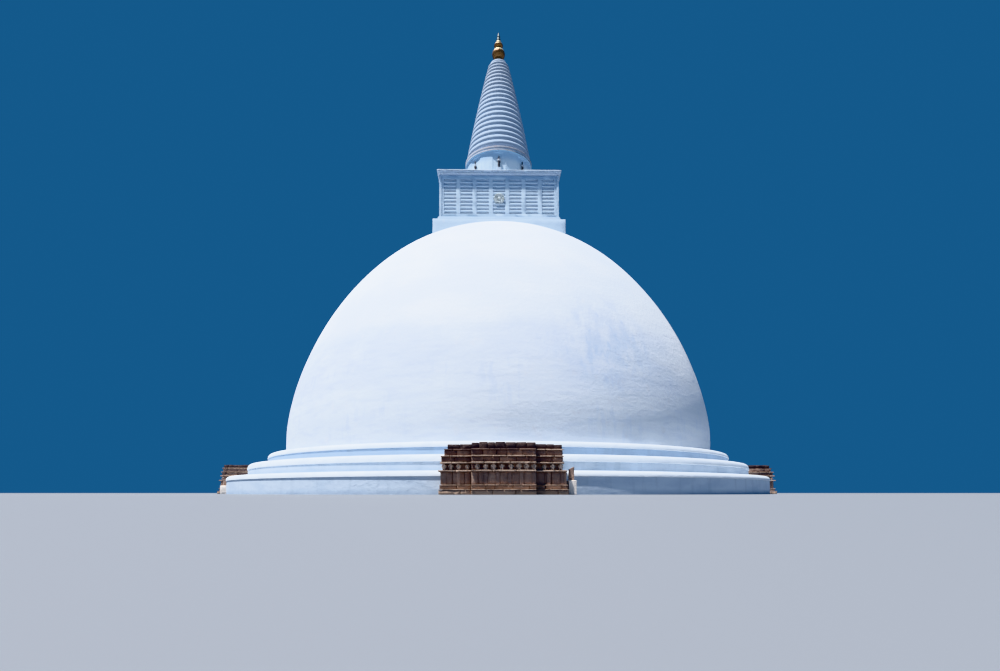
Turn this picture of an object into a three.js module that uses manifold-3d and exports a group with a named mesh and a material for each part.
// A whitewashed bubble-shaped stupa on three round base rings, as a scale model at 1:2.
// Every size below is the real stupa's, in metres; mm() turns it into model millimetres.
// +Z is up, the origin lies on the ground under the middle of the dome, and the front
// frontispiece faces -Y.

import * as THREE from 'three';
import { mergeVertices } from 'three/addons/utils/BufferGeometryUtils.js';
import Module from 'manifold-3d';

// Driving dimensions of the real stupa, in metres
const MODEL_SCALE = 0.5;
const SEAT_GAP = 0.0006;

const RING_TOPS = [1.49, 2.62, 3.61];
const RING_RADII = [26.5, 24.8, 23.1];
const COPING_HEIGHTS = [0.36, 0.48, 0.38];
const COPING_DEPTH = 0.26;
const COPING_STEPS = 4;
const RISER_SETBACK = 0.06;
const RING_SEGMENTS = 72;

const DOME_RADIUS = 21.5;
const DOME_WAIST_HEIGHT = 5.49;
const DOME_CROWN_HEIGHT = 27.82;
const DOME_HEIGHT_POWER = 1.588;
const DOME_RADIUS_POWER = 2.166;
const DOME_SEGMENTS = 72;
const DOME_STEPS = 16;

const SEAT_HEIGHT = 25.3;
const PLINTH = { half: 6.56, top: 27.1 };
const BASE_MOULDING = { half: 6.1, top: 27.56 };
const CHAMBER = { half: 5.97, top: 31.8 };
const CORNICE = { half: 6.06, top: 32.05 };
const ROOF_SLAB = { half: 6.2, top: 32.28 };

const CORNER_POST_WIDTH = 0.24;
const CORNER_POST_REACH = 0.05;
const RAILING_THICKNESS = 0.12;
const RAILING_BAYS = 7;
const RAILING_BAY_WIDTH = 1.2;
const RAILING_BAY_PITCH = 1.63;
const RAILING_BAY_BOTTOM = 27.9;
const RAILING_BAY_TOP = 31.43;

const SUN_DISC_RADIUS = 0.53;
const SUN_DISC_THICKNESS = 0.2;
const SUN_DISC_HEIGHT = 29.45;

const DRUM_RADIUS = 3.51;
const DRUM_STEP = { radius: 3.72, top: 33.6 };
const NICHE_WIDTH = 1.32;
const NICHE_FACE = 3.42;
const NICHE_TOP = 35.7;
const STATUE_COUNT = 8;
const STATUE_CENTRE = 3.545;
const STATUE_TOP = 35.45;
const STATUE_WIDTH = 0.5;
const STATUE_DEPTH = 0.24;
const PEDESTAL_TOP = 34.05;

const FLANGE = { bottom: 35.86, top: 36.38, radius: 3.66 };
const SPIRE_NECK_TOP = 36.6;
const SPIRE_RING_COUNT = 20;
const SPIRE_FIRST_PITCH = 0.62;
const SPIRE_PITCH_LOSS = 0.21;
const SPIRE_TAPER = 0.18;
const SPIRE_TAPER_GROWTH = 0.003;
const SPIRE_GROOVE_DEPTH = 0.2;
const SPIRE_CAP = { radius: 0.95, height: 0.4 };
const SPIRE_SEGMENTS = 36;

const FINIAL_SEGMENTS = 24;
const LOWER_BULB = { radius: 0.7, height: 1.82 };
const UPPER_BULB = { radius: 0.5, height: 0.67 };
const FINIAL_TOP = 51.62;

// Courses of a frontispiece, from the ground up: top, half width of the wings, distance of
// their face from the axis. The centre stands further forward and a little higher.
const FRONT_WALL_COURSES = [
  { top: 0.32, half: 3.74, face: 28.5 },
  { top: 0.58, half: 3.72, face: 28.34 },
  { top: 1.31, half: 3.66, face: 28.2 },
  { top: 1.42, half: 3.74, face: 28.34 },
];
const FRONT_FRIEZE_COURSES = [
  { top: 1.78, half: 3.46, face: 27.98 },
  { top: 1.89, half: 3.58, face: 28.32 },
];
const FRONT_TOP_COURSES = [
  { top: 2.18, half: 3.5, face: 28.12 },
  { top: 2.27, half: 3.58, face: 28.24 },
  { top: 2.57, half: 3.46, face: 28.02 },
  { top: 2.66, half: 3.48, face: 28.12 },
  { top: 2.97, half: 3.36, face: 27.96 },
];
const FRONT_CENTRE_HALF = 1.86;
const FRONT_CENTRE_REACH = 0.45;
const FRONT_CENTRE_TOP = 3.06;
const FRONT_BACK = 24.2;

// The stump of a stele on a low block, to the right of each frontispiece
const STELE_BLOCK = { left: 3.8, right: 4.28, face: 27.9, top: 0.85 };
const STELE_STUMP = { left: 3.82, right: 4.17, face: 27.7, back: 27.46, top: 1.68 };

const mm = (metres) => metres * 1000 * MODEL_SCALE;

// Finishes
const finish = (color, roughness, metalness = 0) =>
  new THREE.MeshStandardMaterial({ color, roughness, metalness });

const WHITEWASH = finish(0xe8edf4, 0.85);
const SHADED_PLASTER = finish(0xb9c3cf, 0.85);
const OLD_GILT = finish(0xa97b2a, 0.35, 0.9);
const DARK_STONE = finish(0x4a3528, 0.95);
const PALE_STONE = finish(0xb29a7c, 0.9);
const FIGURE_STONE = finish(0x6f6a64, 0.9);

const stupa = new THREE.Group();

function addPart(name, geometry, material, parent = stupa) {
  const mesh = new THREE.Mesh(geometry, material);
  mesh.name = name;
  parent.add(mesh);
  return mesh;
}

// A solid of revolution about +Z from [radius, height] pairs in metres
function turned(profile, segments) {
  const points = profile.map(([radius, height]) => new THREE.Vector2(mm(radius), mm(height)));
  return new THREE.LatheGeometry(points, segments).rotateX(Math.PI / 2);
}

// A square block centred on the axis
function squareBlock(half, bottom, top) {
  const height = mm(top - bottom);
  return new THREE.BoxGeometry(mm(2 * half), mm(2 * half), height).translate(0, 0, mm(bottom) + height / 2);
}

// A block from its lowest and highest corners
function block([x0, y0, z0], [x1, y1, z1]) {
  return new THREE.BoxGeometry(mm(x1 - x0), mm(y1 - y0), mm(z1 - z0))
    .translate(mm(x0 + x1) / 2, mm(y0 + y1) / 2, mm(z0 + z1) / 2);
}

// Closed solids for joining and cutting
const wasm = await Module();
wasm.setup();

function solidOf(geometry) {
  const bare = geometry.clone();
  bare.deleteAttribute('normal');
  bare.deleteAttribute('uv');
  const merged = mergeVertices(bare, 1e-3);
  return new wasm.Manifold(new wasm.Mesh({
    numProp: 3,
    vertProperties: new Float32Array(merged.attributes.position.array),
    triVerts: new Uint32Array(merged.index.array),
  }));
}

function geometryOf(solid) {
  const mesh = solid.getMesh();
  const geometry = new THREE.BufferGeometry();
  geometry.setAttribute('position', new THREE.BufferAttribute(mesh.vertProperties, 3));
  geometry.setIndex(new THREE.BufferAttribute(mesh.triVerts, 1));
  geometry.computeVertexNormals();
  return geometry;
}

function joined(geometries) {
  return geometries.map(solidOf).reduce((whole, piece) => whole.add(piece));
}

// Base rings: a plain riser under a coping that stands a little proud of it and rounds back to
// the ring's top. room widens the outline all round, for cutting what is built against a ring.
function ringProfile(level, bottom, room = 0) {
  const radius = RING_RADII[level] + room;
  const copingFoot = RING_TOPS[level] - COPING_HEIGHTS[level];
  const profile = [
    [0, bottom],
    [radius - RISER_SETBACK, bottom],
    [radius - RISER_SETBACK, copingFoot - room],
    [radius, copingFoot - room],
  ];
  for (let step = 1; step <= COPING_STEPS; step += 1) {
    const turn = (step / COPING_STEPS) * (Math.PI / 2);
    profile.push([
      radius - COPING_DEPTH * (1 - Math.cos(turn)),
      copingFoot + room + COPING_HEIGHTS[level] * Math.sin(turn),
    ]);
  }
  profile.push([0, RING_TOPS[level] + room]);
  return profile;
}

['base_ring_lower', 'base_ring_middle', 'base_ring_upper'].forEach((name, level) => {
  const bottom = level === 0 ? 0 : RING_TOPS[level - 1] + SEAT_GAP;
  addPart(name, turned(ringProfile(level, bottom), RING_SEGMENTS), WHITEWASH);
});

// Dome: nearly upright at its foot, rounding over to the crown, with a square seat cut in the crown
function domeRadius(height) {
  const rise = Math.max(0, (height - DOME_WAIST_HEIGHT) / (DOME_CROWN_HEIGHT - DOME_WAIST_HEIGHT));
  return DOME_RADIUS * (1 - rise ** DOME_HEIGHT_POWER) ** (1 / DOME_RADIUS_POWER);
}

function domeProfile() {
  const profile = [[0, RING_TOPS[2] + SEAT_GAP], [DOME_RADIUS, RING_TOPS[2] + SEAT_GAP]];
  const span = DOME_CROWN_HEIGHT - DOME_WAIST_HEIGHT;
  for (let step = 0; step < DOME_STEPS; step += 1) {
    const height = DOME_WAIST_HEIGHT + span * Math.sin((step / DOME_STEPS) * (Math.PI / 2));
    profile.push([domeRadius(height), height]);
  }
  profile.push([0, DOME_CROWN_HEIGHT]);
  return profile;
}

const domeSolid = solidOf(turned(domeProfile(), DOME_SEGMENTS));
const crownSeat = solidOf(squareBlock(PLINTH.half + SEAT_GAP, SEAT_HEIGHT, DOME_CROWN_HEIGHT + 1));
addPart('dome', geometryOf(domeSolid.subtract(crownSeat)), WHITEWASH);

// Square chamber above the dome
addPart('chamber_plinth', squareBlock(PLINTH.half, SEAT_HEIGHT + SEAT_GAP, PLINTH.top), WHITEWASH);
addPart('chamber_base_moulding',
  squareBlock(BASE_MOULDING.half, PLINTH.top + SEAT_GAP, BASE_MOULDING.top), WHITEWASH);

// The chamber's body is a plain core with a post at each corner; the railing panels fill the
// faces between the posts and stand a little behind them
const railingFace = CHAMBER.half - CORNER_POST_REACH;
const coreHalf = railingFace - RAILING_THICKNESS;
const postInside = CHAMBER.half - CORNER_POST_WIDTH;

function chamberBody() {
  const bottom = BASE_MOULDING.top + SEAT_GAP;
  const pieces = [squareBlock(coreHalf, bottom, CHAMBER.top)];
  [[1, 1], [-1, 1], [-1, -1], [1, -1]].forEach(([x, y]) => {
    const ends = (side) => [side * postInside, side * CHAMBER.half].sort((low, high) => low - high);
    const [x0, x1] = ends(x);
    const [y0, y1] = ends(y);
    pieces.push(block([x0, y0, bottom], [x1, y1, CHAMBER.top]));
  });
  return geometryOf(joined(pieces));
}
addPart('chamber_body', chamberBody(), SHADED_PLASTER);
addPart('chamber_cornice', squareBlock(CORNICE.half, CHAMBER.top + SEAT_GAP, CORNICE.top), WHITEWASH);
addPart('chamber_roof_slab', squareBlock(ROOF_SLAB.half, CORNICE.top + SEAT_GAP, ROOF_SLAB.top), SHADED_PLASTER);

// Railing relief on one face: a panel with tall bays between its uprights
function railingPanel() {
  const half = postInside - SEAT_GAP;
  const back = -(coreHalf + SEAT_GAP);
  let panel = solidOf(block([-half, -railingFace, BASE_MOULDING.top + SEAT_GAP], [half, back, CHAMBER.top]));
  for (let bay = 0; bay < RAILING_BAYS; bay += 1) {
    const middle = (bay - (RAILING_BAYS - 1) / 2) * RAILING_BAY_PITCH;
    const halfBay = RAILING_BAY_WIDTH / 2;
    const hole = block([middle - halfBay, -railingFace - 1, RAILING_BAY_BOTTOM],
      [middle + halfBay, back + 1, RAILING_BAY_TOP]);
    panel = panel.subtract(solidOf(hole));
  }
  return geometryOf(panel);
}

function sunDisc() {
  const thickness = mm(SUN_DISC_THICKNESS);
  return new THREE.CylinderGeometry(mm(SUN_DISC_RADIUS), mm(SUN_DISC_RADIUS), thickness, 24)
    .translate(0, -mm(coreHalf + SEAT_GAP) - thickness / 2, mm(SUN_DISC_HEIGHT));
}

const SIDES = ['front', 'right', 'back', 'left'];
SIDES.forEach((side, turn) => {
  const facing = new THREE.Group();
  facing.rotation.z = turn * (Math.PI / 2);
  stupa.add(facing);
  addPart(`railing_${side}`, railingPanel(), WHITEWASH, facing);
  addPart(`sun_disc_${side}`, sunDisc(), PALE_STONE, facing);
});

// Statue drum: a round wall on a low step, with a shallow niche behind each guardian statue
function drumGeometry() {
  const bottom = ROOF_SLAB.top + SEAT_GAP;
  const top = FLANGE.bottom - SEAT_GAP;
  let drum = solidOf(turned([
    [0, bottom],
    [DRUM_STEP.radius, bottom],
    [DRUM_STEP.radius, DRUM_STEP.top],
    [DRUM_RADIUS, DRUM_STEP.top],
    [DRUM_RADIUS, top],
    [0, top],
  ], 48));
  const halfNiche = NICHE_WIDTH / 2;
  for (let place = 0; place < STATUE_COUNT; place += 1) {
    const niche = block([-halfNiche, -DRUM_STEP.radius - 1, DRUM_STEP.top], [halfNiche, -NICHE_FACE, NICHE_TOP])
      .rotateZ((place * 2 * Math.PI) / STATUE_COUNT);
    drum = drum.subtract(solidOf(niche));
  }
  return geometryOf(drum);
}
addPart('statue_drum', drumGeometry(), WHITEWASH);

// A guardian statue: square pedestal, robed body, shoulders and head
function statueGeometry() {
  const foot = DRUM_STEP.top + SEAT_GAP;
  const height = STATUE_TOP - PEDESTAL_TOP;
  const half = STATUE_WIDTH / 2;
  const outline = [
    [0, -0.02],
    [0.62, -0.02],
    [0.6, 0.4],
    [0.92, 0.68],
    [0.78, 0.79],
    [0.26, 0.82],
    [0.42, 0.9],
    [0.24, 0.98],
    [0, 1],
  ];
  const figure = turned(outline.map(([width, rise]) => [half * width, PEDESTAL_TOP + height * rise]), 12)
    .scale(1, STATUE_DEPTH / STATUE_WIDTH, 1);
  const pedestal = block([-half, -STATUE_DEPTH / 2, foot], [half, STATUE_DEPTH / 2, PEDESTAL_TOP]);
  return geometryOf(joined([pedestal, figure]));
}

for (let place = 0; place < STATUE_COUNT; place += 1) {
  const facing = new THREE.Group();
  facing.rotation.z = (place * 2 * Math.PI) / STATUE_COUNT;
  stupa.add(facing);
  const statue = addPart(`guardian_statue_${place + 1}`, statueGeometry(), FIGURE_STONE, facing);
  statue.position.y = -mm(STATUE_CENTRE);
}

// Spire: a wide flange, a short neck, then rounded rings that grow smaller and thinner towards
// the cap
function spireRadius(height) {
  const rise = height - FLANGE.bottom;
  return FLANGE.radius - SPIRE_TAPER * rise - SPIRE_TAPER_GROWTH * rise * rise;
}

function spireProfile() {
  const neckRadius = spireRadius(SPIRE_NECK_TOP) - SPIRE_GROOVE_DEPTH;
  const profile = [[0, FLANGE.top + SEAT_GAP], [neckRadius, FLANGE.top + SEAT_GAP]];
  let bottom = SPIRE_NECK_TOP;
  for (let ring = 0; ring < SPIRE_RING_COUNT; ring += 1) {
    const along = ring / (SPIRE_RING_COUNT - 1);
    const pitch = SPIRE_FIRST_PITCH - SPIRE_PITCH_LOSS * along * along;
    const outer = spireRadius(bottom + pitch / 2);
    profile.push([outer - SPIRE_GROOVE_DEPTH, bottom]);
    profile.push([outer, bottom + pitch * 0.25]);
    profile.push([outer, bottom + pitch * 0.75]);
    bottom += pitch;
  }
  const { radius, height } = SPIRE_CAP;
  profile.push([radius * 0.85, bottom]);
  profile.push([radius, bottom + height * 0.2]);
  profile.push([radius, bottom + height * 0.7]);
  profile.push([radius * 0.85, bottom + height]);
  profile.push([0, bottom + height]);
  return profile;
}

addPart('spire_flange',
  turned([[0, FLANGE.bottom], [FLANGE.radius, FLANGE.bottom], [FLANGE.radius, FLANGE.top], [0, FLANGE.top]],
    SPIRE_SEGMENTS), SHADED_PLASTER);
const ringedSpire = spireProfile();
addPart('ringed_spire', turned(ringedSpire, SPIRE_SEGMENTS), WHITEWASH);

// Gilded finial: two bulbs and a slender tip
const finialFoot = ringedSpire[ringedSpire.length - 1][1] + SEAT_GAP;

// A bulb from the shares of its full width at shares of its height
function bulbProfile(bottom, { radius, height }, shares) {
  const profile = shares.map(([width, rise]) => [radius * width, bottom + height * rise]);
  return [[0, bottom], ...profile, [0, bottom + height]];
}

const LOWER_BULB_SHARES = [[0.62, 0], [0.62, 0.27], [0.88, 0.42], [1, 0.63], [0.86, 0.85], [0.5, 1]];
const UPPER_BULB_SHARES = [[0.66, 0], [0.92, 0.2], [1, 0.45], [0.84, 0.75], [0.6, 1]];

const upperBulbFoot = finialFoot + LOWER_BULB.height + SEAT_GAP;
const tipFoot = upperBulbFoot + UPPER_BULB.height + SEAT_GAP;
addPart('finial_lower_bulb',
  turned(bulbProfile(finialFoot, LOWER_BULB, LOWER_BULB_SHARES), FINIAL_SEGMENTS), OLD_GILT);
addPart('finial_upper_bulb',
  turned(bulbProfile(upperBulbFoot, UPPER_BULB, UPPER_BULB_SHARES), FINIAL_SEGMENTS), OLD_GILT);
addPart('finial_tip', turned([
  [0, tipFoot], [0.3, tipFoot], [0.22, tipFoot + 0.3], [0.1, FINIAL_TOP - 0.35], [0.05, FINIAL_TOP - 0.08],
  [0, FINIAL_TOP],
], 16), OLD_GILT);

// Room that the two lower rings take from what is built against them
const roomOfRings = [
  ringProfile(0, -1, SEAT_GAP),
  ringProfile(1, RING_TOPS[0] / 2, SEAT_GAP),
].map((profile) => solidOf(turned(profile, RING_SEGMENTS)));

function builtAgainstRings(geometries) {
  return geometryOf(roomOfRings.reduce((left, room) => left.subtract(room), joined(geometries)));
}

// Stone frontispieces: a footing and plain wall, an animal frieze under a ledge, and the worn
// upper courses, all running back over the rings. Courses lap so that each part is one solid.
function coursework(courses, bottom, centreTop) {
  const blocks = [];
  let foot = bottom;
  courses.forEach(({ top, half, face }, index) => {
    const isHighest = centreTop !== undefined && index === courses.length - 1;
    blocks.push(block([-half, -face, foot], [half, -FRONT_BACK, top]));
    blocks.push(block([-FRONT_CENTRE_HALF, -face - FRONT_CENTRE_REACH, foot],
      [FRONT_CENTRE_HALF, -FRONT_BACK, isHighest ? centreTop : top]));
    foot = top;
  });
  return builtAgainstRings(blocks);
}

function stele() {
  const { left, right, face, top } = STELE_BLOCK;
  const stump = STELE_STUMP;
  return builtAgainstRings([
    block([left, -face, 0], [right, -RING_RADII[0] + 1, top]),
    block([stump.left, -stump.face, top / 2], [stump.right, -stump.back, stump.top]),
  ]);
}

const wallTop = FRONT_WALL_COURSES[FRONT_WALL_COURSES.length - 1].top;
const friezeTop = FRONT_FRIEZE_COURSES[FRONT_FRIEZE_COURSES.length - 1].top;
SIDES.forEach((side, turn) => {
  const facing = new THREE.Group();
  facing.rotation.z = turn * (Math.PI / 2);
  stupa.add(facing);
  addPart(`frontispiece_wall_${side}`, coursework(FRONT_WALL_COURSES, 0), DARK_STONE, facing);
  addPart(`frontispiece_frieze_${side}`,
    coursework(FRONT_FRIEZE_COURSES, wallTop + SEAT_GAP), PALE_STONE, facing);
  addPart(`frontispiece_top_${side}`,
    coursework(FRONT_TOP_COURSES, friezeTop + SEAT_GAP, FRONT_CENTRE_TOP), DARK_STONE, facing);
  addPart(`stele_${side}`, stele(), DARK_STONE, facing);
});

export default stupa;
